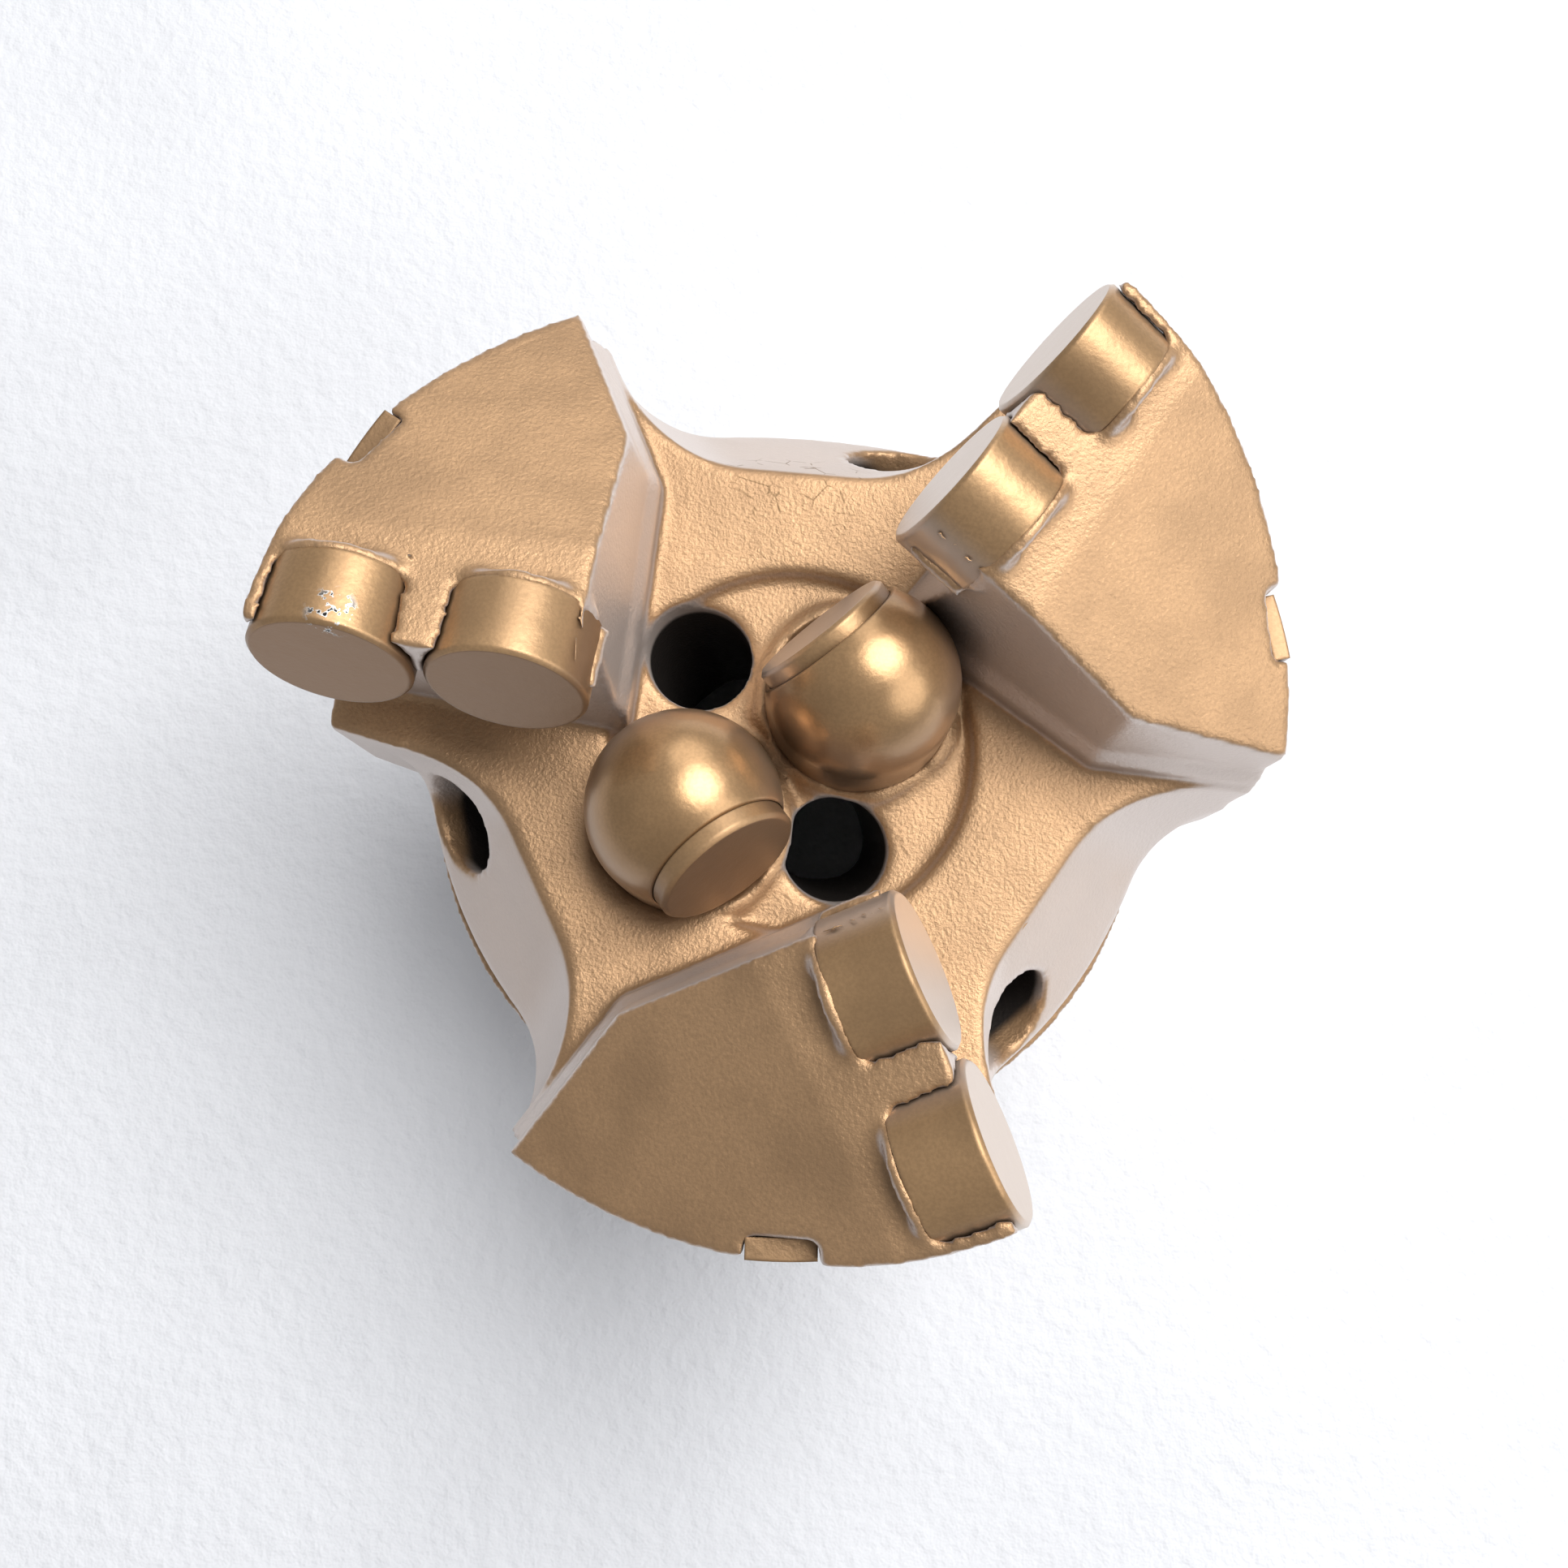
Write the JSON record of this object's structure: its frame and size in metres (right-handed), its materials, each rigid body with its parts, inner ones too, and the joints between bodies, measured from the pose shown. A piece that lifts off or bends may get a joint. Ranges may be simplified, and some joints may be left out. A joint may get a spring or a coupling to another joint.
{
  "type": "drill bit",
  "caption": "Gold-painted concave PDC drill bit with stepped wings, round polycrystalline diamond cutters, waterways and a box thread for the drill rod.",
  "frame": {"origin": "on the bit's axis, in the end face of the shank, at the mouth of the box thread", "axes": "+Z along the bit's axis towards the cutting face; +X and +Y square to it, with the first wing 51.6 degrees from +X towards +Y"},
  "size_m": [0.1033, 0.0982, 0.1056],
  "materials": {
    "body": "gold spray paint on forged steel, slightly grained",
    "cutter": "the same paint over sintered diamond and tungsten carbide",
    "stud": "the same paint over a brazed steel stud, glossier",
    "insert": "the same paint over a tungsten carbide bar"
  },
  "bodies": {
    "root": {"bit_body": "body", "outer_cutter_1": "cutter", "inner_cutter_1": "cutter", "gauge_insert_1": "insert", "outer_cutter_2": "cutter", "inner_cutter_2": "cutter", "gauge_insert_2": "insert", "outer_cutter_3": "cutter", "inner_cutter_3": "cutter", "gauge_insert_3": "insert", "centre_stud_a": "stud", "centre_cutter_a": "cutter", "centre_stud_b": "stud", "centre_cutter_b": "cutter"}
  },
  "joints": []
}
